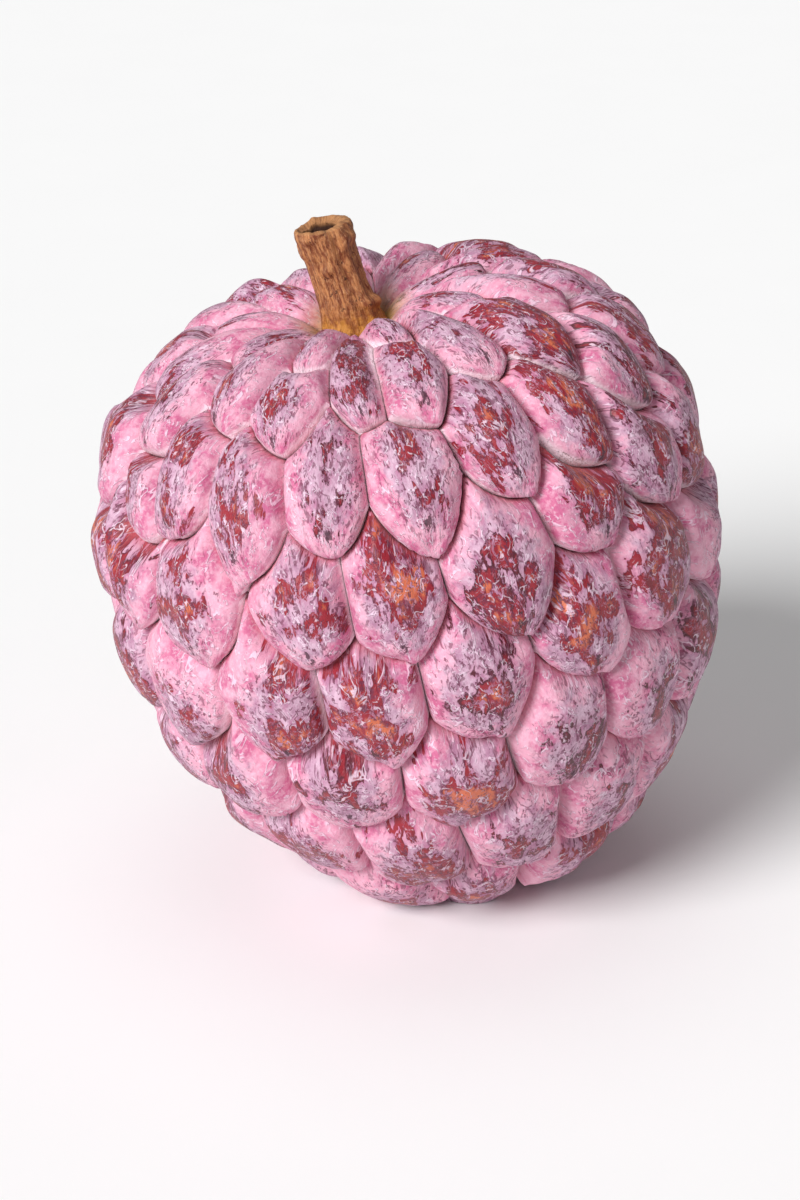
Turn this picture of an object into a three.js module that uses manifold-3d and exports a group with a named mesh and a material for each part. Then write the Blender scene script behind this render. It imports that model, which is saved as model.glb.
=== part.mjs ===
// A ripe pink custard apple (sugar apple) with its cut stem, lying on a table.
// Millimetres, +Z up. The origin is the middle of the flat spot that the fruit rests on.
// The fruit is one solid: a heart-shaped body whose skin is raised into overlapping carpels, row by row.

import * as THREE from 'three';
import { mergeVertices } from 'three/addons/utils/BufferGeometryUtils.js';
import Module from 'manifold-3d';

const wasm = await Module();
wasm.setup();

// Driving dimensions of the fruit
const BODY_RADIUS = 36.2; // mean radius of the body under the carpels
const PROFILE = [-0.013, 0.052, -0.069, -0.014, -0.019]; // cosine terms that make the round body heart-shaped
const CAVITY_DEPTH = 4.2; // how far the stem cavity sinks into the top
const CAVITY_SPREAD = 13; // degrees of polar angle that the cavity spreads over
const LEAN = 13; // degrees that the fruit's own axis leans towards -X
const REST_PRESS = 3.8; // how much of the lowest carpels is pressed flat by the fruit's weight

// The carpels, in rows from the stem to the blossom end.
// polar: degrees from the stem; count: carpels in the row; first: azimuth of one of them, in degrees,
// 0 towards -Y and 90 towards +X; width: half width as a share of the spacing; length: length along the
// meridian; height: how far the crown stands out of the body.
const ROWS = [
  { polar: 18.5, count: 9, first: -16, width: 0.38, length: 12, height: 3 },
  { polar: 28, count: 9, first: 0.5, width: 0.37, length: 17, height: 3.3 },
  { polar: 32, count: 9, first: -22, width: 0.37, length: 17, height: 3.6 },
  { polar: 46.5, count: 20, first: 11, width: 0.6, length: 19, height: 3.9 },
  { polar: 62, count: 18, first: 0.5, width: 0.59, length: 19, height: 4.1 },
  { polar: 81, count: 17, first: 12.5, width: 0.59, length: 20, height: 4.2 },
  { polar: 102, count: 16, first: 2.5, width: 0.6, length: 20, height: 4.2 },
  { polar: 124, count: 14, first: 15, width: 0.6, length: 20, height: 4.1 },
  { polar: 144, count: 10, first: 0, width: 0.62, length: 19, height: 3.9 },
  { polar: 163, count: 5, first: -90, width: 0.66, length: 17, height: 3.6 },
  { polar: 178, count: 1, first: 0, width: 0.66, length: 17, height: 3.2 },
];
const POLE_WIDTH = 13; // spacing used for the single carpel at the blossom end
const ABOVE_SHARE = 0.6; // share of a carpel's length above its centre, mostly tucked under the next row
const BELOW_SHARE = 0.5; // share of its length below its centre, down to the free tip

// Each place on the body goes to the carpel with the strongest claim on it
const ROUNDNESS = 2.35; // exponent of a claim's outline; 2 is an ellipse
const CLAIM_POWER = 0.6; // 1 gives straight creases, less gives rounder carpels
const TIP_TAPER = 0.05; // how much narrower a carpel's claim gets towards its tip
const TILE_SLOPE = 0.22; // how much stronger a claim gets downwards, so that tips lie over the next row

// Shape of the skin over each carpel, in mm over the body for a carpel of CROWN_HEIGHT
const CROWN_HEIGHT = 4;
const CREASE_LEVEL = 1.4; // height of the creases between carpels
const CROWN_RISE = 1.95; // rise from the crease to the crown
const CROWN_DOME = 1.6; // further rise to the crown's middle
const TIP_RISE = 0.4; // further rise towards the tip
const EDGE_SOFTNESS = 1.1; // lead of a claim over which the skin rises from the crease
const TOP_SOFTNESS = 0.55; // share by which that rise is softer at a carpel's top and steeper at its tip
const JUNCTION_SOFTNESS = 0.25; // how softly the creases of several neighbours run together
const MOST_LEAD = 6;
const OVERHANG = 0.4; // how far a carpel leans over the next row, per unit of height
const ROW_STRAY = 4.5; // degrees that a carpel strays up or down from its row, widest at the fruit's middle
const SIDE_STRAY = 3.2; // degrees that it strays sideways in its row
const SIZE_STRAY = 0.05; // share by which carpels differ in size
const SEED = 12520;

// Driving dimensions of the stem
const STEM_LENGTH = 15.5; // from the cavity's floor to the cut end
const STEM_RADIUS = 3.25;
const FOOT_RADIUS = 4.9; // the flare where the stem grows out of the fruit
const PITH_RADIUS = 1.7; // the hollow in the cut end
const PITH_DEPTH = 4.5;
const ROOT_RADIUS = 2.9; // the woody core that goes on into the fruit
const ROOT_DEPTH = 4;
const STEM_BEND = 1.1; // how far the cut end leans off the fruit's axis, towards -X
const STEM_RIDGES = 9; // fibres along the stem
const STEM_RIDGE_HEIGHT = 0.16;
const STEM_SIDES = 27;
const GAP = 0.35; // clearance between the stem and the flesh round it

const SKIN_DETAIL = 21; // splits of each edge of the icosahedron that the skin's mesh starts from
const SMOOTHING_STEPS = 4;
const SNAP_STEPS = 14; // halvings that find where a crease crosses a mesh edge
const REACH = 26; // no carpel's claim reaches further than this from its centre

const radians = THREE.MathUtils.degToRad;

// A repeatable number from -1 to 1 for a carpel and a purpose.
function chance(index, purpose) {
  const wave = Math.sin(index * 12.9898 + purpose * 78.233 + SEED) * 43758.5453;
  return 2 * (wave - Math.floor(wave)) - 1;
}

// Distance from the fruit's centre to the body's surface.
function bodyRadius(polar) {
  const shape = PROFILE.reduce((sum, term, i) => sum + term * Math.cos((i + 1) * polar), 1);
  return BODY_RADIUS * shape - CAVITY_DEPTH * Math.exp(-((polar / radians(CAVITY_SPREAD)) ** 2));
}

// The point of the body in a direction, with the outward normal and the way down the meridian.
function bodyFrame(polar, azimuth) {
  const step = 1e-4;
  const radius = bodyRadius(polar);
  const slope = (bodyRadius(polar + step) - bodyRadius(polar - step)) / (2 * step);
  const out = slope * Math.sin(polar) + radius * Math.cos(polar);
  const up = slope * Math.cos(polar) - radius * Math.sin(polar);
  const size = Math.hypot(out, up);
  const side = new THREE.Vector3(Math.sin(azimuth), -Math.cos(azimuth), 0);
  const down = side.clone().multiplyScalar(out / size).setZ(up / size);
  const normal = side.clone().multiplyScalar(-up / size).setZ(out / size);
  const point = side.clone().multiplyScalar(radius * Math.sin(polar)).setZ(radius * Math.cos(polar));
  const across = new THREE.Vector3(Math.cos(azimuth), Math.sin(azimuth), 0);
  return { point, normal, down, across };
}

// Every carpel, with its frame on the body and its own size.
function makeCarpels() {
  const carpels = [];
  for (const row of ROWS) {
    const girth = Math.sin(radians(row.polar));
    const ring = 2 * Math.PI * bodyRadius(radians(row.polar)) * girth;
    const spacing = row.count === 1 ? POLE_WIDTH : ring / row.count;
    for (let k = 0; k < row.count; k += 1) {
      const index = carpels.length;
      const polar = row.polar + ROW_STRAY * girth * chance(index, 1);
      const azimuth = row.first + (360 * k) / row.count + SIDE_STRAY * chance(index, 2);
      const size = 1 + SIZE_STRAY * chance(index, 3);
      carpels.push({
        ...bodyFrame(radians(polar), radians(azimuth)),
        halfWidth: row.width * spacing * size,
        above: row.length * ABOVE_SHARE,
        below: row.length * BELOW_SHARE * size,
        height: row.height * size,
      });
    }
  }
  return carpels;
}

const carpels = makeCarpels();

// Where a point of the body lies on a carpel: mm down from its centre, and as shares of its size.
function placeOn(carpel, point) {
  const offset = point.clone().sub(carpel.point);
  const down = offset.dot(carpel.down);
  const along = down > 0 ? down / carpel.below : down / carpel.above;
  const taper = down > 0 ? 1 - TIP_TAPER * Math.min(along, 1) ** 2 : 1;
  return { down, along, side: offset.dot(carpel.across) / (carpel.halfWidth * taper) };
}

// How strongly a carpel claims a point of the body.
function claimOf(carpel, point) {
  const { down, side, along } = placeOn(carpel, point);
  const edge = 1 - Math.abs(side) ** ROUNDNESS - Math.abs(along) ** ROUNDNESS;
  const cap = edge > 0 ? edge ** CLAIM_POWER : edge;
  return carpel.height * cap + TILE_SLOPE * THREE.MathUtils.clamp(down, -carpel.above, carpel.below);
}

// Polar angle and azimuth of a direction.
const anglesOf = (way) => [Math.acos(THREE.MathUtils.clamp(way.z, -1, 1)), Math.atan2(way.x, -way.y)];
const pointOf = (way) => bodyFrame(...anglesOf(way)).point;

// The carpel that has a direction, and the lead of its claim over all the others together.
function ownerOf(way) {
  const point = pointOf(way);
  const near = carpels.map((carpel, index) => index).filter((i) => carpels[i].point.distanceTo(point) < REACH);
  const claims = near.map((i) => claimOf(carpels[i], point));
  const best = Math.max(...claims);
  const owner = claims.indexOf(best);
  const crowd = claims.reduce((sum, c, i) => sum + (i === owner ? 0 : Math.exp((c - best) / JUNCTION_SOFTNESS)), 0);
  return { index: near[owner], lead: Math.min(-JUNCTION_SOFTNESS * Math.log(crowd), MOST_LEAD) };
}

// Height of the skin over the body in a direction.
function skinHeight(way) {
  const { index, lead } = ownerOf(way);
  const carpel = carpels[index];
  const place = placeOn(carpel, pointOf(way));
  const along = THREE.MathUtils.clamp(place.along, -1, 1);
  const softness = EDGE_SOFTNESS * (1 - TOP_SOFTNESS * along);
  const dome = Math.max(1 - place.side ** 2 - place.along ** 2, 0);
  const crown = CROWN_RISE + CROWN_DOME * dome + TIP_RISE * along;
  return (carpel.height / CROWN_HEIGHT) * (CREASE_LEVEL + crown * (1 - Math.exp(-lead / softness)));
}

// Where the crease between two carpels crosses a mesh edge, as a share of the edge.
function creaseShare(from, to, here, there) {
  let low = 0;
  let high = 1;
  for (let i = 0; i < SNAP_STEPS; i += 1) {
    const middle = (low + high) / 2;
    const point = pointOf(from.clone().lerp(to, middle).normalize());
    if (claimOf(carpels[here], point) > claimOf(carpels[there], point)) low = middle;
    else high = middle;
  }
  return high;
}

// The skin's mesh as directions, with vertices moved onto the creases between carpels.
function skinDirections() {
  const ball = new THREE.IcosahedronGeometry(1, SKIN_DETAIL);
  ball.deleteAttribute('normal');
  ball.deleteAttribute('uv');
  const mesh = mergeVertices(ball, 1e-4);
  const index = mesh.index.array;
  const ways = [];
  for (let i = 0; i < mesh.attributes.position.count; i += 1) {
    ways.push(new THREE.Vector3().fromBufferAttribute(mesh.attributes.position, i).normalize());
  }
  const neighbours = ways.map(() => new Set());
  for (let i = 0; i < index.length; i += 3) {
    for (let k = 0; k < 3; k += 1) {
      neighbours[index[i + k]].add(index[i + ((k + 1) % 3)]);
      neighbours[index[i + k]].add(index[i + ((k + 2) % 3)]);
    }
  }
  const owners = ways.map((way) => ownerOf(way).index);
  const snapped = ways.map((way, i) => {
    let nearest = { share: 0.5, to: null };
    for (const j of neighbours[i]) {
      if (owners[j] === owners[i]) continue;
      const share = creaseShare(way, ways[j], owners[i], owners[j]);
      if (share <= nearest.share) nearest = { share, to: ways[j] };
    }
    return nearest.to ? way.clone().lerp(nearest.to, nearest.share).normalize() : null;
  });
  snapped.forEach((way, i) => {
    if (way) ways[i] = way;
  });
  for (let step = 0; step < SMOOTHING_STEPS; step += 1) {
    const smooth = ways.map((way, i) => {
      if (snapped[i]) return way;
      const mean = new THREE.Vector3();
      for (const j of neighbours[i]) mean.add(ways[j]);
      return mean.normalize();
    });
    smooth.forEach((way, i) => {
      ways[i] = way;
    });
  }
  return { ways, index };
}

// Turns the fruit's own frame into the lean that it lies at.
const lean = new THREE.Matrix4().makeRotationY(-radians(LEAN));

// The fruit's solid skin, leaning, before it is cut for the stem and set down.
function makeSkin() {
  const { ways, index } = skinDirections();
  const points = ways.map((way) => {
    const { point, normal, down } = bodyFrame(...anglesOf(way));
    const height = skinHeight(way);
    return point.addScaledVector(normal, height).addScaledVector(down, OVERHANG * height).applyMatrix4(lean);
  });
  const floor = Math.min(...points.map((p) => p.z)) + REST_PRESS;
  for (const p of points) p.z = Math.max(p.z, floor);
  return { points, index, floor };
}

// Middle of the triangles that lie on the floor.
function flatSpot(points, index, floor) {
  const middle = new THREE.Vector3();
  let area = 0;
  for (let i = 0; i < index.length; i += 3) {
    const [a, b, c] = [points[index[i]], points[index[i + 1]], points[index[i + 2]]];
    if (a.z > floor || b.z > floor || c.z > floor) continue;
    const share = new THREE.Triangle(a, b, c).getArea();
    middle.addScaledVector(a.clone().add(b).add(c), share / 3);
    area += share;
  }
  return middle.divideScalar(area);
}

// A closed three.js geometry as a solid that can be cut and joined.
function toSolid(geometry) {
  const plain = geometry.clone();
  plain.deleteAttribute('normal');
  plain.deleteAttribute('uv');
  const merged = mergeVertices(plain, 1e-4);
  return new wasm.Manifold(
    new wasm.Mesh({
      numProp: 3,
      vertProperties: merged.attributes.position.array,
      triVerts: new Uint32Array(merged.index.array),
    }),
  );
}

// A solid as a three.js geometry.
function toGeometry(solid) {
  const mesh = solid.getMesh();
  const geometry = new THREE.BufferGeometry();
  geometry.setAttribute('position', new THREE.BufferAttribute(mesh.vertProperties, mesh.numProp));
  geometry.setIndex(new THREE.BufferAttribute(mesh.triVerts, 1));
  geometry.computeVertexNormals();
  return geometry;
}

// Outline of the stem from its root to the bottom of its hollow pith, as radius and height over the
// cavity's floor. extra widens it all round, for the room that the fruit leaves it.
function stemOutline(extra) {
  const outside = [
    [0, -ROOT_DEPTH - extra],
    [ROOT_RADIUS + extra, -ROOT_DEPTH - extra],
    [ROOT_RADIUS + extra, -0.9 - extra],
    [FOOT_RADIUS + extra, -0.4 - extra],
    [FOOT_RADIUS - 0.3 + extra, 1.2],
    [STEM_RADIUS + 0.9 + extra, 2.6],
    [STEM_RADIUS + 0.35 + extra, 4.8],
    [STEM_RADIUS + extra, 8],
    [STEM_RADIUS - 0.15 + extra, 11.5],
    [STEM_RADIUS + extra, STEM_LENGTH - 1.6],
    [STEM_RADIUS + extra, STEM_LENGTH - 0.3],
  ];
  if (extra > 0) return [...outside, [0, STEM_LENGTH + extra]];
  return [
    ...outside,
    [STEM_RADIUS - 0.5, STEM_LENGTH],
    [PITH_RADIUS + 0.2, STEM_LENGTH - 0.2],
    [PITH_RADIUS - 0.2, STEM_LENGTH - 1.4],
    [PITH_RADIUS - 0.5, STEM_LENGTH - PITH_DEPTH],
    [0, STEM_LENGTH - PITH_DEPTH - 0.3],
  ];
}

// The stem's solid in the fruit's own frame, ridged along its fibres and bent off the axis.
function makeStem(extra) {
  const outline = stemOutline(extra).map(([r, z]) => new THREE.Vector2(r, z));
  const lathe = new THREE.LatheGeometry(outline, STEM_SIDES).rotateX(Math.PI / 2);
  const place = lathe.attributes.position;
  const floor = bodyRadius(0) + CREASE_LEVEL;
  for (let i = 0; i < place.count; i += 1) {
    const p = new THREE.Vector3().fromBufferAttribute(place, i);
    const radius = Math.hypot(p.x, p.y);
    const turn = Math.atan2(p.y, p.x);
    const ridge = radius > ROOT_RADIUS + extra && extra === 0 ? STEM_RIDGE_HEIGHT : 0;
    const grown = radius + ridge * Math.cos(STEM_RIDGES * turn + 0.12 * p.z);
    const bend = STEM_BEND * (Math.max(p.z, 0) / STEM_LENGTH) ** 1.5;
    place.setXYZ(i, grown * Math.cos(turn) - bend, grown * Math.sin(turn), p.z + floor);
  }
  return toSolid(lathe.applyMatrix4(lean));
}

const skin = makeSkin();
const rest = flatSpot(skin.points, skin.index, skin.floor);
const skinGeometry = new THREE.BufferGeometry().setFromPoints(skin.points);
skinGeometry.setIndex(new THREE.BufferAttribute(new Uint32Array(skin.index), 1));

const fruit = new THREE.Mesh(
  toGeometry(toSolid(skinGeometry).subtract(makeStem(GAP))),
  new THREE.MeshStandardMaterial({ color: 0xc98bb0, roughness: 0.6, metalness: 0 }),
);
fruit.name = 'fruit';

const stem = new THREE.Mesh(
  toGeometry(makeStem(0)),
  new THREE.MeshStandardMaterial({ color: 0x94602f, roughness: 0.85, metalness: 0 }),
);
stem.name = 'stem';

const custardApple = new THREE.Group();
custardApple.add(fruit, stem);
custardApple.position.copy(rest).negate();

export default custardApple;
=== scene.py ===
"""Looks for a ripe pink custard apple and its cut stem: carpels, waxy bloom, rubbed skin, fibrous bark."""

import math

import bpy
import numpy as np
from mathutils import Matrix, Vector


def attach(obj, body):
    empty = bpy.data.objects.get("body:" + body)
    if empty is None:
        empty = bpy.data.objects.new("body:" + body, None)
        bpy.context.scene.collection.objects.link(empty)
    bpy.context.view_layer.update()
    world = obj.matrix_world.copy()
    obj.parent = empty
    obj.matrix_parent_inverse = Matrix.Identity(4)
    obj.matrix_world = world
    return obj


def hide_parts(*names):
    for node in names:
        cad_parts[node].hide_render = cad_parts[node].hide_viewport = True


MM = 0.001  # the formulas work in millimetres and the scene in metres

# The fruit's form, with the same values as the solid that it stands for
CENTRE = (-4.59, -0.07, 40.90)  # the body's centre over the middle of the flat spot
BODY_RADIUS = 36.2
PROFILE = (-0.013, 0.052, -0.069, -0.014, -0.019)  # cosine terms, as shares of the radius
CAVITY_DEPTH = 4.2
CAVITY_SPREAD = 13  # degrees
LEAN = 13  # degrees
# Rows from the stem down: polar angle, number of carpels, azimuth of the first, half width as a share of the room
# for each, length and height
ROWS = (
    (18.5, 9, -16, 0.38, 12, 3),
    (28, 9, 0.5, 0.37, 17, 3.3),
    (32, 9, -22, 0.37, 17, 3.6),
    (46.5, 20, 11, 0.6, 19, 3.9),
    (62, 18, 0.5, 0.59, 19, 4.1),
    (81, 17, 12.5, 0.59, 20, 4.2),
    (102, 16, 2.5, 0.6, 20, 4.2),
    (124, 14, 15, 0.6, 20, 4.1),
    (144, 10, 0, 0.62, 19, 3.9),
    (163, 5, -90, 0.66, 17, 3.6),
    (178, 1, 0, 0.66, 17, 3.2),
)
POLE_WIDTH = 13  # room of the one carpel at the underside
ABOVE_SHARE = 0.6  # share of the length above and below a carpel's centre
BELOW_SHARE = 0.5
ROUNDNESS = 2.35
TIP_TAPER = 0.05
CLAIM_POWER = 0.6
TILE_SLOPE = 0.22  # growth of a claim down the carpel, so that it covers the row below
CROWN_HEIGHT = 4  # height in ROWS at which the rises below hold as they stand
CREASE_LEVEL = 1.4
CROWN_RISE = 1.95
CROWN_DOME = 1.6
TIP_RISE = 0.4
EDGE_SOFTNESS = 1.1  # lead of a claim over which the skin rises from a crease
TOP_SOFTNESS = 0.55
JUNCTION_SOFTNESS = 0.25
OVERHANG = 0.4  # the skin's way down for each millimetre of its height
ROW_STRAY = 4.5  # degrees
SIDE_STRAY = 3.2  # degrees
SIZE_STRAY = 0.05
SEED = 12520
PATTERN_DRAWS = (4, 2690, 2234, 7)  # purposes of the draws for shift, wear, hue and height
ICOSAHEDRON_SPLITS = 97
REACH = 26  # no carpel reaches further than this from its centre
MOST_LEAD = 6  # leads are cut off here
SNAP_STEPS = 14  # halvings of a mesh edge to find its crease
SMOOTH_PASSES = 4

# Fine relief on each carpel, in millimetres
LUMP_RISE = 0.16
SMALL_LUMP_RISE = 0.06
FOLD_RISE = 0.06
RIB_RISE = 0.12
RIB_WIDTH = 0.6
RIB_END = 0.8  # share of the carpel's length
DIMPLE_DEPTH = 0.4
DIMPLE_WIDTH = 0.8
DIMPLE_AT = 0.86
DIMPLE_SHARE = 0.12
SMOOTH_EDGE = 1.2  # lead of a claim from which the relief is at its full height

# The stem, in millimetres over the cavity's floor
STEM_LENGTH = 15.5
STEM_BEND = 1.1
ROOT_DEPTH = 4
PITH_DEPTH = 4.5
PITH_ACROSS = (2.1, 1.85)  # half of its width across the lean and along it
PITH_OFF = -0.3
PITH_TAPER = 0.45
STEM_HEIGHTS = (-4, -1.6, -0.7, 0, 1.2, 2.6, 4.8, 8, 11.5, 13.6, 14.8, 15.5)
STEM_RADII = (2.9, 2.9, 4.2, 4.9, 4.6, 4.15, 3.6, 3.25, 3.1, 3.3, 3.5, 3.4)
STEM_SIDES = 144
BARK_RINGS = 150
RIM_RINGS = 10
PITH_RINGS = 40
UNEVEN_END = 2.5  # length of the cut end that follows its ragged edge


def chance(index, purpose):
    """A repeatable number from -1 to 1 for a carpel and a purpose."""
    wave = math.sin(index * 12.9898 + purpose * 78.233 + SEED) * 43758.5453
    return 2 * (wave - math.floor(wave)) - 1


def body_radius(polar):
    """Radius of the smooth body at a polar angle: five cosine terms, and the dip at the stem."""
    shape = sum(term * np.cos((i + 1) * polar) for i, term in enumerate(PROFILE))
    dip = CAVITY_DEPTH * np.exp(-((polar / math.radians(CAVITY_SPREAD)) ** 2))
    return BODY_RADIUS * (1 + shape) - dip


def body_frame(polar, azimuth):
    """Point of the body in a direction, with its normal, the way down the meridian and the way across."""
    step = 1e-4
    radius = body_radius(polar)
    slope = (body_radius(polar + step) - body_radius(polar - step)) / (2 * step)
    out = slope * np.sin(polar) + radius * np.cos(polar)
    up = slope * np.cos(polar) - radius * np.sin(polar)
    size = np.hypot(out, up)
    east, south = np.sin(azimuth), -np.cos(azimuth)
    flat = np.zeros_like(east)
    off_axis = radius * np.sin(polar)
    point = np.stack([east * off_axis, south * off_axis, radius * np.cos(polar)], -1)
    normal = np.stack([-east * up / size, -south * up / size, out / size], -1)
    down = np.stack([east * out / size, south * out / size, up / size], -1)
    across = np.stack([np.cos(azimuth), np.sin(azimuth), flat], -1)
    return point, normal, down, across


def make_carpels():
    """Arrays with one entry a carpel: centre, frame and sizes."""
    found = []
    for polar, count, first, width, length, height in ROWS:
        girth = math.sin(math.radians(polar))
        ring = 2 * math.pi * float(body_radius(math.radians(polar))) * girth
        spacing = POLE_WIDTH if count == 1 else ring / count
        for k in range(count):
            index = len(found)
            size = 1 + SIZE_STRAY * chance(index, 3)
            found.append(
                (
                    math.radians(polar + ROW_STRAY * girth * chance(index, 1)),
                    math.radians(first + 360 * k / count + SIDE_STRAY * chance(index, 2)),
                    width * spacing * size,
                    length * ABOVE_SHARE,
                    length * BELOW_SHARE * size,
                    height * size,
                )
            )
    polar, azimuth, half_width, above, below, height = np.array(found).T
    point, normal, down, across = body_frame(polar, azimuth)
    return {
        "point": point,
        "normal": normal,
        "down": down,
        "across": across,
        "half_width": half_width,
        "above": above,
        "below": below,
        "height": height,
    }


def local_place(carpels, owner, points):
    """Where points of the body lie on their carpel: across and down in mm, and both as shares of its size."""
    offset = points - carpels["point"][owner]
    down = (offset * carpels["down"][owner]).sum(-1)
    across = (offset * carpels["across"][owner]).sum(-1)
    along = np.where(down > 0, down / carpels["below"][owner], down / carpels["above"][owner])
    taper = np.where(down > 0, 1 - TIP_TAPER * np.minimum(along, 1) ** 2, 1)
    return across, down, across / (carpels["half_width"][owner] * taper), along


def claim_of(carpels, owner, points):
    """How strongly a carpel claims a place; the strongest claim gets it."""
    _, down, side, along = local_place(carpels, owner, points)
    slope = TILE_SLOPE * np.clip(down, -carpels["above"][owner], carpels["below"][owner])
    edge = 1 - np.abs(side) ** ROUNDNESS - np.abs(along) ** ROUNDNESS
    cap = np.where(edge > 0, np.maximum(edge, 0) ** CLAIM_POWER, edge)
    return carpels["height"][owner] * cap + slope


def angles_of(ways):
    """Polar angle and azimuth of directions. Azimuth 0 is towards the viewer, -Y."""
    return np.arccos(np.clip(ways[:, 2], -1, 1)), np.arctan2(ways[:, 0], -ways[:, 1])


def share_out(carpels, ways):
    """The carpel that has each direction, the one that comes next, and the lead of its claim."""
    point = body_frame(*angles_of(ways))[0]
    claims = np.full((len(ways), len(carpels["height"])), -99.0)
    for k, centre in enumerate(carpels["point"]):
        near = np.nonzero(((point - centre) ** 2).sum(1) < REACH**2)[0]
        claims[near, k] = claim_of(carpels, np.full(len(near), k), point[near])
    owner = claims.argmax(1)
    rows = np.arange(len(ways))
    best = claims[rows, owner]
    claims[rows, owner] = -99
    other = claims.argmax(1)
    crowd = np.exp((claims - best[:, None]) / JUNCTION_SOFTNESS).sum(1)
    lead = -JUNCTION_SOFTNESS * np.log(np.maximum(crowd, 1e-12))
    return owner, other, np.minimum(lead, MOST_LEAD)


def height_of(carpels, owner, ways, lead):
    """Height of the skin over the body: level creases, and a crown that is highest towards its tip."""
    _, _, side, along = local_place(carpels, owner, body_frame(*angles_of(ways))[0])
    softness = EDGE_SOFTNESS * (1 - TOP_SOFTNESS * np.clip(along, -1, 1))
    scale = carpels["height"][owner] / CROWN_HEIGHT
    dome = CROWN_DOME * np.maximum(1 - side**2 - along**2, 0)
    crown = CROWN_RISE + dome + TIP_RISE * np.clip(along, -1, 1)
    return CREASE_LEVEL * scale + crown * scale * (1 - np.exp(-lead / softness))


def unit(vectors):
    return vectors / np.linalg.norm(vectors, axis=-1, keepdims=True)


def ball(splits):
    """Directions and triangles of an icosahedron with each edge split."""
    golden = (1 + math.sqrt(5)) / 2
    corners = [(-1, golden, 0), (1, golden, 0), (-1, -golden, 0), (1, -golden, 0)]
    corners += [(0, -1, golden), (0, 1, golden), (0, -1, -golden), (0, 1, -golden)]
    corners += [(golden, 0, -1), (golden, 0, 1), (-golden, 0, -1), (-golden, 0, 1)]
    sides = [(0, 11, 5), (0, 5, 1), (0, 1, 7), (0, 7, 10), (0, 10, 11)]
    sides += [(1, 5, 9), (5, 11, 4), (11, 10, 2), (10, 7, 6), (7, 1, 8)]
    sides += [(3, 9, 4), (3, 4, 2), (3, 2, 6), (3, 6, 8), (3, 8, 9)]
    sides += [(4, 9, 5), (2, 4, 11), (6, 2, 10), (8, 6, 7), (9, 8, 1)]
    corners = unit(np.array(corners, float))
    place, steps = {}, []
    for i in range(splits + 1):
        for j in range(splits + 1 - i):
            place[i, j] = len(steps)
            steps.append((splits - i - j, i, j))
    pattern = [(place[i, j], place[i + 1, j], place[i, j + 1]) for i, j in place if i + j < splits]
    pattern += [
        (place[i + 1, j], place[i + 1, j + 1], place[i, j + 1]) for i, j in place if i + j < splits - 1
    ]
    weights, pattern = np.array(steps) / splits, np.array(pattern)
    ways = np.concatenate([weights @ corners[list(side)] for side in sides])
    faces = np.concatenate([pattern + k * len(weights) for k in range(len(sides))])
    rounded = np.round(ways * 1e6).astype(int)
    _, first, merged = np.unique(rounded, axis=0, return_index=True, return_inverse=True)
    return unit(ways[first]), merged.reshape(-1)[faces]


def crease_share(carpels, start, end, here, there):
    """Where the crease between two carpels crosses a mesh edge, as a share of the edge."""
    low, high = np.zeros(len(start)), np.ones(len(start))
    for _ in range(SNAP_STEPS):
        middle = (low + high) / 2
        way = unit(start + (end - start) * middle[:, None])
        point = body_frame(*angles_of(way))[0]
        before = claim_of(carpels, here, point) > claim_of(carpels, there, point)
        low, high = np.where(before, middle, low), np.where(before, high, middle)
    return high


def crease_mesh(carpels, ways, faces):
    """Moves the nearest vertices onto the creases, and evens out the others."""
    owner = share_out(carpels, ways)[0]
    sides = np.concatenate([faces[:, [0, 1]], faces[:, [1, 2]], faces[:, [2, 0]]])
    edges = np.unique(np.sort(sides, axis=1), axis=0)
    crossing = edges[owner[edges[:, 0]] != owner[edges[:, 1]]]
    a, b = crossing.T
    share = crease_share(carpels, ways[a], ways[b], owner[a], owner[b])
    mover = np.where(share <= 0.5, a, b)
    target = unit(ways[a] + (ways[b] - ways[a]) * share[:, None])
    distance = np.minimum(share, 1 - share)
    order = np.lexsort((distance, mover))
    mover, target = mover[order], target[order]
    moved, first = np.unique(mover, return_index=True)
    ways = ways.copy()
    ways[moved] = target[first]
    free = np.ones(len(ways), bool)
    free[moved] = False
    for _ in range(SMOOTH_PASSES):
        total = np.zeros_like(ways)
        for i, j in ((0, 1), (1, 0)):
            for axis in range(3):
                total[:, axis] += np.bincount(edges[:, i], ways[edges[:, j], axis], len(ways))
        ways[free] = unit(total[free])
    return ways, ~free


def lean(points):
    """Points of the upright body after its lean to the left, about Y."""
    turn = -math.radians(LEAN)
    c, s = math.cos(turn), math.sin(turn)
    x, y, z = points.T
    return np.stack([c * x + s * z, y, -s * x + c * z], -1)


def wave_noise(place, seed, waves=14):
    """Smooth seeded noise of about -1 to 1 with a period near one unit."""
    rng = np.random.default_rng(seed)
    total = np.zeros(len(place))
    for _ in range(waves):
        way = unit(rng.normal(size=place.shape[1])) * 2 * math.pi * rng.uniform(0.6, 1.4)
        total += np.sin(place @ way + rng.uniform(0, 2 * math.pi))
    return total / math.sqrt(waves)


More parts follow.
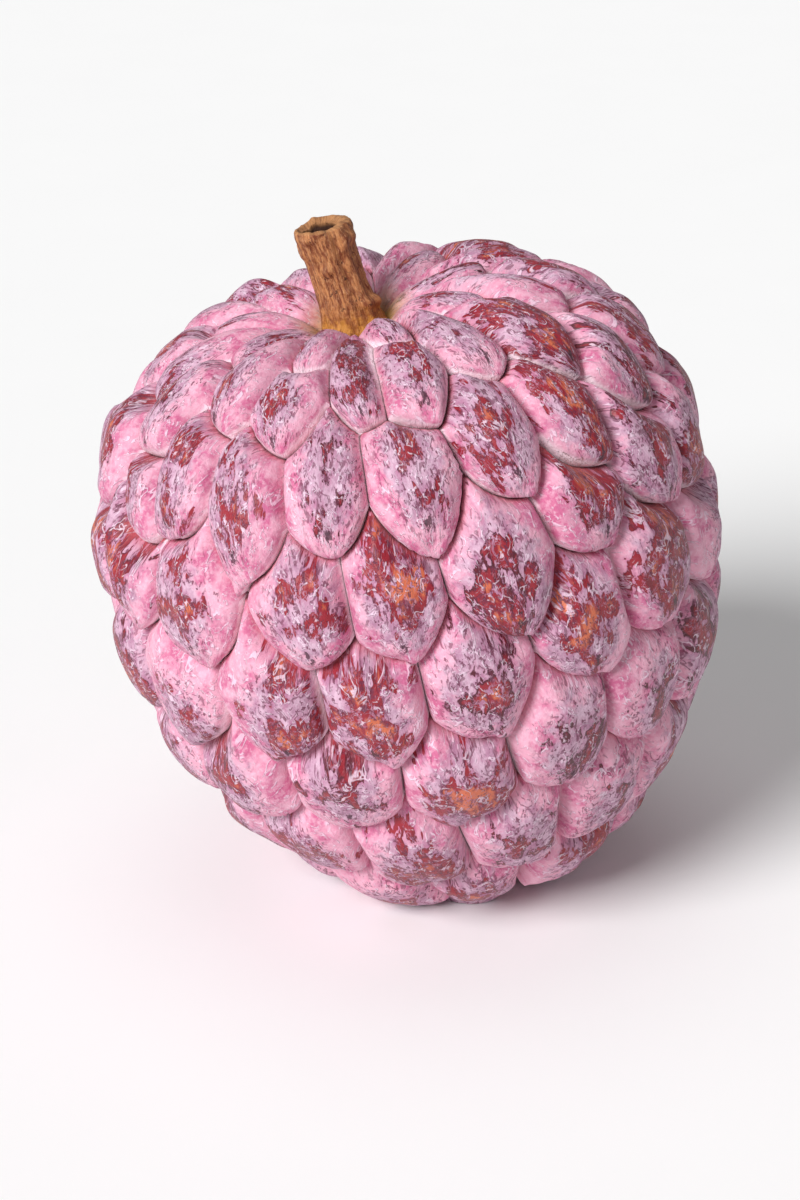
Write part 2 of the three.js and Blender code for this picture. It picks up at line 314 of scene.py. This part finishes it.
def mesh_object(name, points, faces, material, caps=()):
    """A smooth-shaded object. caps are rings of points, as first and count, closed with one face each."""
    loops = [faces.ravel()] + [np.arange(first, first + count) for first, count in caps]
    if caps:
        loops[1] = loops[1][::-1]
    sizes = [faces.shape[1]] * len(faces) + [count for _, count in caps]
    starts = np.concatenate([[0], np.cumsum(sizes)[:-1]])
    mesh = bpy.data.meshes.new(name)
    mesh.vertices.add(len(points))
    mesh.vertices.foreach_set("co", np.asarray(points, np.float32).ravel())
    mesh.loops.add(sum(sizes))
    mesh.loops.foreach_set("vertex_index", np.concatenate(loops).astype(np.int32))
    mesh.polygons.add(len(sizes))
    mesh.polygons.foreach_set("loop_start", starts.astype(np.int32))
    mesh.update(calc_edges=True)
    mesh.validate()
    mesh.materials.append(material)
    piece = bpy.data.objects.new(name, mesh)
    bpy.context.scene.collection.objects.link(piece)
    return piece


def fine_relief(carpels, owner, ways, lead):
    """Height in mm of lumps, lengthwise folds, a rib and a dimple at the tip. It is 0 at the creases."""
    point = body_frame(*angles_of(ways))[0]
    across, down, side, along = local_place(carpels, owner, point)
    own = np.stack([across, down * 0.6, owner * 7.3], -1)
    lumps = wave_noise(own / 6, 3) * LUMP_RISE + wave_noise(own / 2.6, 4) * SMALL_LUMP_RISE
    lines = side / np.sqrt(np.maximum(1.05 - np.minimum(along, 1) ** 2, 0.1))
    folds = wave_noise(np.stack([lines * 3.2, down / 22, owner * 3.1], -1), 5) * FOLD_RISE
    rib = RIB_RISE * np.exp(-((across / RIB_WIDTH) ** 2)) * (along < RIB_END)
    dimple = np.exp(-((across / DIMPLE_WIDTH) ** 2) - ((along - DIMPLE_AT) / DIMPLE_SHARE) ** 2)
    fade = np.clip(lead / SMOOTH_EDGE, 0, 1)
    return (lumps + folds + rib - DIMPLE_DEPTH * dimple) * fade


def carpel_patterns(carpels, owner, other, lead, points):
    """Values for the skin's material at each point.

    lines and down are the place on the carpel, and number tells carpels apart. crown is 1 at its top, wear
    and hue are its draws, and nib is its dark tip. under and over are the two sides of a crease, and bare is
    the cavity.
    """
    across, down, side, along = local_place(carpels, owner, points)
    other_along = local_place(carpels, other, points)[3]
    lines = side / np.sqrt(np.maximum(1.06 - np.minimum(np.abs(along), 1) ** 2, 0.12))
    covered = np.clip(0.5 + 0.7 * (other_along - along), 0, 1)
    near = np.exp(-np.maximum(lead, 0) / 0.5)
    count = len(carpels["height"])
    draws = np.array([[chance(k, purpose) for purpose in PATTERN_DRAWS] for k in range(count)])
    shift, amount, hue, height = draws[owner].T
    crown = np.exp(-(((along - 0.2 - 0.2 * height) / 0.66) ** 2) - ((side - 0.3 * shift) / 0.6) ** 2)
    nib = np.exp(-(((across - 0.8 * shift) / 0.7) ** 2) - ((down - 6.6 - 0.8 * height) / 1.6) ** 2)
    return {
        "lines": lines,
        "down": down,
        "number": owner,
        "crown": crown,
        "wear": 0.5 * amount,
        "hue": 0.5 * hue,
        "nib": nib,
        # under masks the painted shade and shadow line below each overhang; over masks the painted highlight
        # along each free edge
        "under": covered * near,
        "over": (1 - covered) * near,
        "bare": np.clip(2.2 - np.hypot(points[:, 0], points[:, 1]) / 3.6, 0, 1) * (points[:, 2] > 0),
    }


def make_fruit(carpels, material):
    """The skin over the carpels, with its patterns as values at each corner of a face."""
    ways, faces = ball(ICOSAHEDRON_SPLITS)
    ways, on_crease = crease_mesh(carpels, ways, faces)
    owner, other, lead = share_out(carpels, ways)
    height = height_of(carpels, owner, ways, lead) + fine_relief(carpels, owner, ways, lead)
    point, normal, down, _ = body_frame(*angles_of(ways))
    skin = lean(point + normal * height[:, None] + down * (OVERHANG * height)[:, None])
    skin[:, 2] = np.maximum(skin[:, 2], -CENTRE[2])
    face_owner = share_out(carpels, unit(ways[faces].mean(1)))[0]
    fruit = mesh_object("fruit_skin", (skin + CENTRE) * MM, faces, material)
    corner = faces.ravel()
    corner_owner = np.repeat(face_owner, 3)
    corner_other = np.where(owner[corner] == corner_owner, other[corner], owner[corner])
    patterns = carpel_patterns(carpels, corner_owner, corner_other, lead[corner], point[corner])
    patterns["touch"] = on_crease[corner]
    for name, values in patterns.items():
        layer = fruit.data.attributes.new(name, "FLOAT", "CORNER")
        layer.data.foreach_set("value", np.asarray(values, np.float32))
    sharp = fruit.data.attributes.new("sharp_edge", "BOOLEAN", "EDGE")
    sharp.data.foreach_set("value", crease_edges(fruit.data, face_owner))
    return fruit


def crease_edges(mesh, face_owner):
    """True for each mesh edge between faces of two carpels."""
    edge_of = np.zeros(len(mesh.loops), np.int32)
    mesh.loops.foreach_get("edge_index", edge_of)
    owner = np.repeat(face_owner, 3)
    low = np.full(len(mesh.edges), 10**6)
    high = np.full(len(mesh.edges), -(10**6))
    np.minimum.at(low, edge_of, owner)
    np.maximum.at(high, edge_of, owner)
    return low != high


def stem_radius(height):
    """Radius of the stem at a height over the cavity's floor."""
    return np.interp(height, STEM_HEIGHTS, STEM_RADII)


def ring_noise(around, size, seed, height=0.0):
    """Noise round the stem at one height. size is the radius of its circle: a larger one is finer."""
    return wave_noise(np.concatenate([around * size, np.full((len(around), 1), height)], 1), seed)


def bark_rings(around):
    """Rings of the stem's outside, from its root in the fruit to its ragged cut end."""
    heights = np.linspace(-ROOT_DEPTH, STEM_LENGTH, BARK_RINGS)
    uneven = ring_noise(around, 0.7, 21)
    rows = []
    for height in heights:
        place = np.concatenate([around * 3.3, np.full((len(around), 1), height)], 1)
        fibres = ring_noise(around, 2.2, 22, height / 26) * 0.13
        fibres += ring_noise(around, 5.5, 23, height / 9) * 0.05
        knots = np.maximum(wave_noise(place / 3.2, 24) - 0.7, 0) * 0.45 + wave_noise(place / 5.5, 25) * 0.12
        foot = np.clip(1 - height / 3, 0, 1) * ring_noise(around, 1.6, 26, height / 3) * 0.35
        grown = stem_radius(height) + fibres + knots + foot
        rows.append(np.concatenate([around * grown[:, None], place[:, 2:]], 1))
    top = 0.13 * uneven + 0.07 * ring_noise(around, 1.9, 27)
    lift = np.clip((heights - STEM_LENGTH + UNEVEN_END) / UNEVEN_END, 0, 1) ** 2
    for row, share in zip(rows, lift):
        row[:, 2] += share * top
    return rows


def rim_rings(around, edge):
    """Rings from the outer edge of the cut end over its rounded rim to the mouth of the hollow."""
    hollow = around * PITH_ACROSS + (PITH_OFF, 0)
    hollow *= 1 + 0.04 * wave_noise(around * 1.3, 28)[:, None]
    rows = []
    for share in np.linspace(0, 1, RIM_RINGS + 1)[1:]:
        flat = edge[:, :2] * (1 - share) + hollow * share
        height = edge[:, 2] + 0.3 * math.sin(math.pi * min(share * 1.3, 1)) - 0.25 * share
        height += 0.04 * wave_noise(flat / 0.9, 29)
        rows.append(np.concatenate([flat, height[:, None]], 1))
    return rows


def pith_rings(turn, lip, depths):
    """Rings of the hollow's wall, from its lip down to its narrower floor."""
    rows = []
    for share in depths:
        rough = wave_noise(np.stack([turn * 2, turn * 0 + share * 4], -1), 30)[:, None]
        flat = lip[:, :2] * (1 - PITH_TAPER * share**2) + 0.03 * rough
        rows.append(np.concatenate([flat, (lip[:, 2] - PITH_DEPTH * share)[:, None]], 1))
    return rows


def ring_faces(count, sides):
    """Four-sided faces between each ring and the next."""
    quads = []
    for k in range(count - 1):
        a = np.arange(sides) + k * sides
        b = (np.arange(sides) + 1) % sides + k * sides
        quads.append(np.stack([a, b, b + sides, a + sides], -1))
    return np.concatenate(quads)


def make_stem(material):
    """The cut stem: a fibrous tube with knots, a ragged foot and a hollow in its cut end."""
    sides = STEM_SIDES
    turn = np.linspace(0, 2 * math.pi, sides, endpoint=False)
    around = np.stack([np.cos(turn), np.sin(turn)], -1)
    depths = np.linspace(0, 1, PITH_RINGS + 1)[1:]
    rows = bark_rings(around)
    rows += rim_rings(around, rows[-1])
    rows += pith_rings(turn, rows[-1], depths)
    points = np.concatenate(rows)
    inside = np.zeros(len(points))
    inside[(BARK_RINGS + RIM_RINGS) * sides :] = np.repeat(depths, sides)
    cut = np.zeros(len(points))
    cut[BARK_RINGS * sides :] = 1
    height = points[:, 2].copy()
    points[:, 0] -= STEM_BEND * (np.maximum(height, 0) / STEM_LENGTH) ** 1.5
    points[:, 2] += body_radius(0.0) + CREASE_LEVEL
    count = len(rows)
    caps = [(0, sides), ((count - 1) * sides, sides)]
    skin = (lean(points) + CENTRE) * MM
    stem = mesh_object("stem_bark", skin, ring_faces(count, sides), material, caps)
    patterns = {"height": height, "inside": inside, "cut": cut, "turn": np.tile(turn, count)}
    for name, values in patterns.items():
        layer = stem.data.attributes.new(name, "FLOAT", "POINT")
        layer.data.foreach_set("value", values.astype(np.float32))
    return stem


def tone(red, green, blue):
    """Linear colour from 8-bit screen values."""
    shares = [value / 255 for value in (red, green, blue)]
    return [s / 12.92 if s <= 0.04045 else ((s + 0.055) / 1.055) ** 2.4 for s in shares]


class Shader:
    """Short calls for building a node material."""

    def __init__(self, name):
        self.material = bpy.data.materials.new(name)
        self.material.use_nodes = True
        self.tree = self.material.node_tree
        self.surface = self.tree.nodes["Principled BSDF"]

    def node(self, kind, inputs, output=0, **settings):
        made = self.tree.nodes.new(kind)
        for name, value in settings.items():
            setattr(made, name, value)
        for key, value in inputs.items():
            self.join(made.inputs[key], value)
        return made.outputs[output]

    def join(self, socket, value):
        if isinstance(value, bpy.types.NodeSocket):
            self.tree.links.new(value, socket)
        elif isinstance(value, (list, tuple)) and socket.type == "RGBA":
            socket.default_value = (*value, 1)
        else:
            socket.default_value = value

    def value(self, name):
        return self.node("ShaderNodeAttribute", {}, "Fac", attribute_name=name)

    def place(self):
        return self.node("ShaderNodeTexCoord", {}, "Object")

    def math(self, operation, a, b=0.0, c=0.0):
        return self.node("ShaderNodeMath", {0: a, 1: b, 2: c}, operation=operation)

    def add(self, a, b):
        return self.math("ADD", a, b)

    def times(self, a, b):
        return self.math("MULTIPLY", a, b)

    def vector(self, x, y, z):
        return self.node("ShaderNodeCombineXYZ", {0: x, 1: y, 2: z})

    def noise(self, place, scale, detail=3.0, rough=0.55, twist=0.0):
        inputs = {"Vector": place, "Scale": scale, "Detail": detail}
        inputs |= {"Roughness": rough, "Distortion": twist}
        return self.node("ShaderNodeTexNoise", inputs, "Fac")

    def scribble(self, place, scale, width):
        """Thin curly lines, where a twisted noise passes its middle value."""
        level = self.math("ABSOLUTE", self.add(self.noise(place, scale, 2, 0.5, 1.2), -0.5))
        return self.math("SUBTRACT", 1.0, self.step(level, 0.4 * width, width))

    def step(self, value, low, high):
        """Rises smoothly from 0 at low to 1 at high."""
        inputs = {"Value": value, "From Min": low, "From Max": high}
        return self.node("ShaderNodeMapRange", inputs, interpolation_type="SMOOTHSTEP")

    def mix(self, share, first, second):
        made = self.tree.nodes.new("ShaderNodeMix")
        made.data_type = "RGBA"
        for key, value in ((0, share), (6, first), (7, second)):  # the sockets for colours
            self.join(made.inputs[key], value)
        return made.outputs[2]

    def finish(self, colour, roughness, height):
        """Joins colour, roughness and a bump height in mm to the surface."""
        bump = self.node("ShaderNodeBump", {"Height": height, "Distance": MM, "Strength": 1.0})
        self.join(self.surface.inputs["Base Color"], colour)
        self.join(self.surface.inputs["Roughness"], roughness)
        self.join(self.surface.inputs["Normal"], bump)
        return self.material


def skin_material():
    """Pink wax, lilac bloom over the crowns, rubbed patches and scratches, with painted shade and a painted
    shadow line in the creases and a painted highlight along each free edge.
    """
    s = Shader("custard_apple_skin")
    place, crown = s.place(), s.value("crown")
    lines, down = s.times(s.value("lines"), 7.5), s.value("down")
    apart = s.times(s.value("number"), 11.3)
    even = s.vector(lines, down, apart)
    drawn = s.vector(lines, s.times(down, 0.34), apart)
    half_drawn = s.vector(lines, s.times(down, 0.6), apart)

    # Waxy ground: pale pink with deeper pink clouds, greyer lilac over the crowns
    grain = s.noise(place, 2600, 3, 0.65)
    clouds = s.step(s.noise(even, 0.36, 3, 0.55), 0.4, 0.64)
    pink = s.mix(clouds, tone(227, 162, 185), tone(199, 100, 140))
    pale = s.step(s.noise(place, 1300, 3, 0.6), 0.42, 0.62)
    pink = s.mix(s.times(pale, 0.35), pink, tone(234, 190, 208))
    streaks = s.step(s.noise(half_drawn, 0.8, 4, 0.68), 0.34, 0.64)
    bloom = s.mix(streaks, tone(209, 172, 193), tone(174, 124, 152))
    wax = s.add(s.add(crown, s.times(s.noise(even, 0.7, 4, 0.6), 1.1)), s.times(s.value("wear"), 0.3))
    crowned = s.step(wax, 0.84, 1.16)
    ground = s.mix(crowned, pink, bloom)
    ground = s.mix(s.times(s.step(grain, 0.5, 0.75), 0.3), ground, tone(240, 210, 226))

    # Rubbed patches: the wax is off and the red-brown skin shows, darkest along a patch's border
    patch = s.times(s.noise(even, 0.27, 2, 0.5), 1.15)
    patch = s.add(patch, s.times(s.noise(drawn, 0.8, 3, 0.6, 0.6), 0.85))
    patch = s.add(patch, s.times(crown, 0.42))
    patch = s.add(patch, s.times(s.value("wear"), 0.28))
    worn = s.step(patch, 1.315, 1.335)
    flakes = s.step(s.noise(half_drawn, 1.3, 3, 0.6, 0.4), 0.585, 0.605)
    worn = s.times(worn, s.math("SUBTRACT", 1.0, flakes))
    depth = s.add(patch, s.times(s.value("hue"), 0.16))
    rubbed = s.mix(s.step(depth, 1.31, 1.39), tone(84, 12, 34), tone(148, 28, 44))
    darker = s.step(s.noise(half_drawn, 1.1, 4, 0.6), 0.5, 0.64)
    rubbed = s.mix(s.times(darker, 0.5), rubbed, tone(88, 16, 34))
    rubbed = s.mix(s.step(depth, 1.52, 1.67), rubbed, tone(204, 104, 72))
    stain = s.step(patch, 1.17, 1.34)
    ground = s.mix(s.times(stain, 0.4), ground, tone(176, 92, 132))

    # Curly scratches and short dashes in the wax: dark where the skin shows, pale where the wax is ridged
    scratches = s.times(s.scribble(half_drawn, 0.75, 0.05), s.step(s.noise(even, 1.1, 2), 0.46, 0.56))
    scratches = s.times(scratches, s.step(crown, 0.08, 0.4))
    dashes = s.step(s.noise(half_drawn, 2.3, 2, 0.6), 0.6, 0.63)
    dashes = s.times(dashes, s.step(s.add(crown, s.times(s.noise(even, 0.45, 2), 1.2)), 0.85, 1.12))
    dark = s.math("MAXIMUM", s.times(scratches, 0.8), dashes)
    ridges = s.scribble(s.vector(lines, s.times(down, 0.8), s.add(apart, 4.0)), 0.62, 0.036)
    ridges = s.times(ridges, s.step(s.noise(even, 0.8, 2), 0.48, 0.56))

    flecks = s.times(s.scribble(half_drawn, 1.5, 0.06), s.step(s.noise(even, 0.7, 2), 0.44, 0.56))
    worn = s.times(worn, s.math("SUBTRACT", 1.0, s.times(flecks, 0.6)))
    colour = s.mix(worn, ground, rubbed)
    colour = s.mix(s.times(dark, 0.8), colour, tone(100, 32, 62))
    colour = s.mix(s.times(ridges, 0.7), colour, tone(236, 208, 226))
    nib = s.step(s.add(s.value("nib"), s.times(s.noise(half_drawn, 1.6, 4, 0.7), 2.2)), 1.9, 1.97)
    colour = s.mix(s.times(nib, 0.85), colour, tone(62, 22, 40))

    # Creases: painted shade, a red tint and a dark shadow line under each overhang, and a painted highlight, a
    # pale line along each free edge
    under, over, touch = s.value("under"), s.value("over"), s.value("touch")
    # painted shade: a red tint on the skin beneath each overhang
    colour = s.mix(s.times(s.step(under, 0.1, 0.9), 0.6), colour, tone(196, 88, 98))
    # painted highlight: a pale line where each free edge catches the light
    colour = s.mix(s.times(s.step(over, 0.2, 0.5), 0.9), colour, tone(250, 226, 236))
    # painted shadow: a dark line in the crease under each overhang
    painted_crease_shadow = s.times(s.step(touch, 0.5, 0.95), s.step(under, 0.3, 0.6))
    colour = s.mix(s.times(painted_crease_shadow, 0.8), colour, tone(72, 18, 28))
    bare = s.mix(s.noise(place, 900, 3), tone(128, 96, 40), tone(206, 160, 86))
    colour = s.mix(s.value("bare"), colour, bare)

    roughness = s.math("SUBTRACT", 0.78, s.times(worn, 0.33))
    height = s.add(s.times(worn, -0.08), s.times(dark, -0.05))
    height = s.add(height, s.times(ridges, 0.07))
    height = s.add(height, s.times(grain, 0.07))
    height = s.add(height, s.times(s.noise(half_drawn, 1.8, 3, 0.6), 0.12))
    s.surface.inputs["Sheen Weight"].default_value = 0.05
    s.surface.inputs["Sheen Roughness"].default_value = 0.5
    return s.finish(colour, roughness, height)


def bark_material():
    """Brown fibres with dark knots, a golden foot, a paler cut end and a dark hollow."""
    s = Shader("stem_bark")
    place, height, inside = s.place(), s.value("height"), s.value("inside")
    turn = s.value("turn")
    east = s.times(s.math("COSINE", turn), 3.3)
    north = s.times(s.math("SINE", turn), 3.3)
    around = s.vector(east, north, s.times(height, 0.22))
    fibre = s.noise(around, 2.4, 5, 0.65)
    fine = s.noise(around, 7.5, 3, 0.6)
    blotch = s.noise(place, 420, 4, 0.6)
    colour = s.mix(s.step(fibre, 0.36, 0.64), tone(120, 56, 26), tone(202, 136, 84))
    colour = s.mix(s.times(s.step(fine, 0.5, 0.7), 0.5), colour, tone(226, 174, 126))
    colour = s.mix(s.times(s.step(blotch, 0.52, 0.66), 0.6), colour, tone(118, 48, 24))
    spots = s.step(s.noise(place, 1500, 2), 0.64, 0.7)
    colour = s.mix(s.times(spots, 0.8), colour, tone(66, 28, 16))
    ragged = s.add(height, s.times(s.noise(place, 600, 3), 4))
    foot = s.math("SUBTRACT", 1.0, s.step(ragged, 4.0, 8.5))
    golden = s.mix(s.step(s.noise(place, 1100, 3), 0.4, 0.6), tone(150, 84, 24), tone(214, 146, 52))
    colour = s.mix(s.times(foot, 0.85), colour, golden)
    colour = s.mix(s.times(s.value("cut"), 0.45), colour, tone(190, 140, 92))
    colour = s.mix(s.step(inside, 0.0, 0.14), colour, tone(66, 34, 18))
    bump = s.add(s.times(fibre, 0.4), s.times(fine, 0.14))
    bump = s.add(bump, s.times(s.noise(place, 1900, 3), 0.12))
    roughness = s.add(s.times(fine, 0.2), 0.52)
    return s.finish(colour, roughness, bump)


def floor_material():
    """Nearly white, with a faint unevenness."""
    s = Shader("pale_floor")
    s.surface.inputs["Specular IOR Level"].default_value = 0.1
    speck = s.mix(s.noise(s.place(), 40, 2), tone(249, 249, 249), tone(251, 251, 251))
    s.join(s.surface.inputs["Base Color"], speck)
    s.surface.inputs["Roughness"].default_value = 0.9
    return s.material


def make_camera():
    """The photograph's view, with the body's centre a little off the middle."""
    image = (800, 1200)  # pixels across and down
    seen_at = (417.2, 569.5)  # pixel of the body's centre
    scale = 7.9  # pixels a millimetre at the body's centre
    rise = math.radians(24)  # angle over the horizon
    camera = bpy.data.objects.new("camera", bpy.data.cameras.new("camera"))
    bpy.context.scene.collection.objects.link(camera)
    camera.data.lens = 85
    camera.data.sensor_width = 36
    camera.data.shift_x = (image[0] / 2 - seen_at[0]) / image[1]
    camera.data.shift_y = (seen_at[1] - image[1] / 2) / image[1]
    back = Vector((0, -math.cos(rise), math.sin(rise)))
    distance = camera.data.lens / camera.data.sensor_width * image[1] / scale
    camera.location = (Vector(CENTRE) + back * distance) * MM
    camera.rotation_euler = (-back).to_track_quat("-Z", "Y").to_euler()
    camera.data.clip_start = 0.01
    camera.data.clip_end = 10
    bpy.context.scene.camera = camera


def make_light(name, place, spread, strength):
    """A far light that shines from a place towards the fruit. spread is its size in the sky, in degrees."""
    lamp = bpy.data.lights.new(name, "SUN")
    lamp.angle = math.radians(spread)
    lamp.energy = strength
    light = bpy.data.objects.new(name, lamp)
    light.location = place
    light.rotation_euler = (Vector(CENTRE) * MM - Vector(place)).to_track_quat("-Z", "Y").to_euler()
    bpy.context.scene.collection.objects.link(light)


def make_studio():
    """A wide pale floor under a white sky, with a strong light from the left and a weak one from above."""
    half = 3  # metres
    corners = np.array([(-half, -half, 0), (half, -half, 0), (half, half, 0), (-half, half, 0)])
    floor = mesh_object("floor", corners, np.array([[0, 1, 2, 3]]), floor_material())
    world = bpy.data.worlds.new("studio")
    bpy.context.scene.world = world
    world.use_nodes = True
    background = world.node_tree.nodes["Background"]
    background.inputs["Color"].default_value = (1, 1, 1, 1)
    background.inputs["Strength"].default_value = 0.25
    make_light("key", (-0.48, -0.57, 0.56), 28, 3.5)
    make_light("top", (-0.05, 0.1, 0.75), 38, 0.35)
    bpy.context.scene.view_settings.view_transform = "Standard"


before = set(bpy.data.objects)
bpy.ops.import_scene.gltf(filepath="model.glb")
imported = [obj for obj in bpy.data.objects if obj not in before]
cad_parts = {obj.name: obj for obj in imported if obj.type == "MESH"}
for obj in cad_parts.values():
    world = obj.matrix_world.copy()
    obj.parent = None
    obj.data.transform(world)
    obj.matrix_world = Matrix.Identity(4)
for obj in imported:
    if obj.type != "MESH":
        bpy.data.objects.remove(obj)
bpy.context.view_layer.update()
make_camera()
carpel_set = make_carpels()
fruit = make_fruit(carpel_set, skin_material())
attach(fruit, "root")
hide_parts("fruit")
stem = make_stem(bark_material())
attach(stem, "root")
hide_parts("stem")
make_studio()
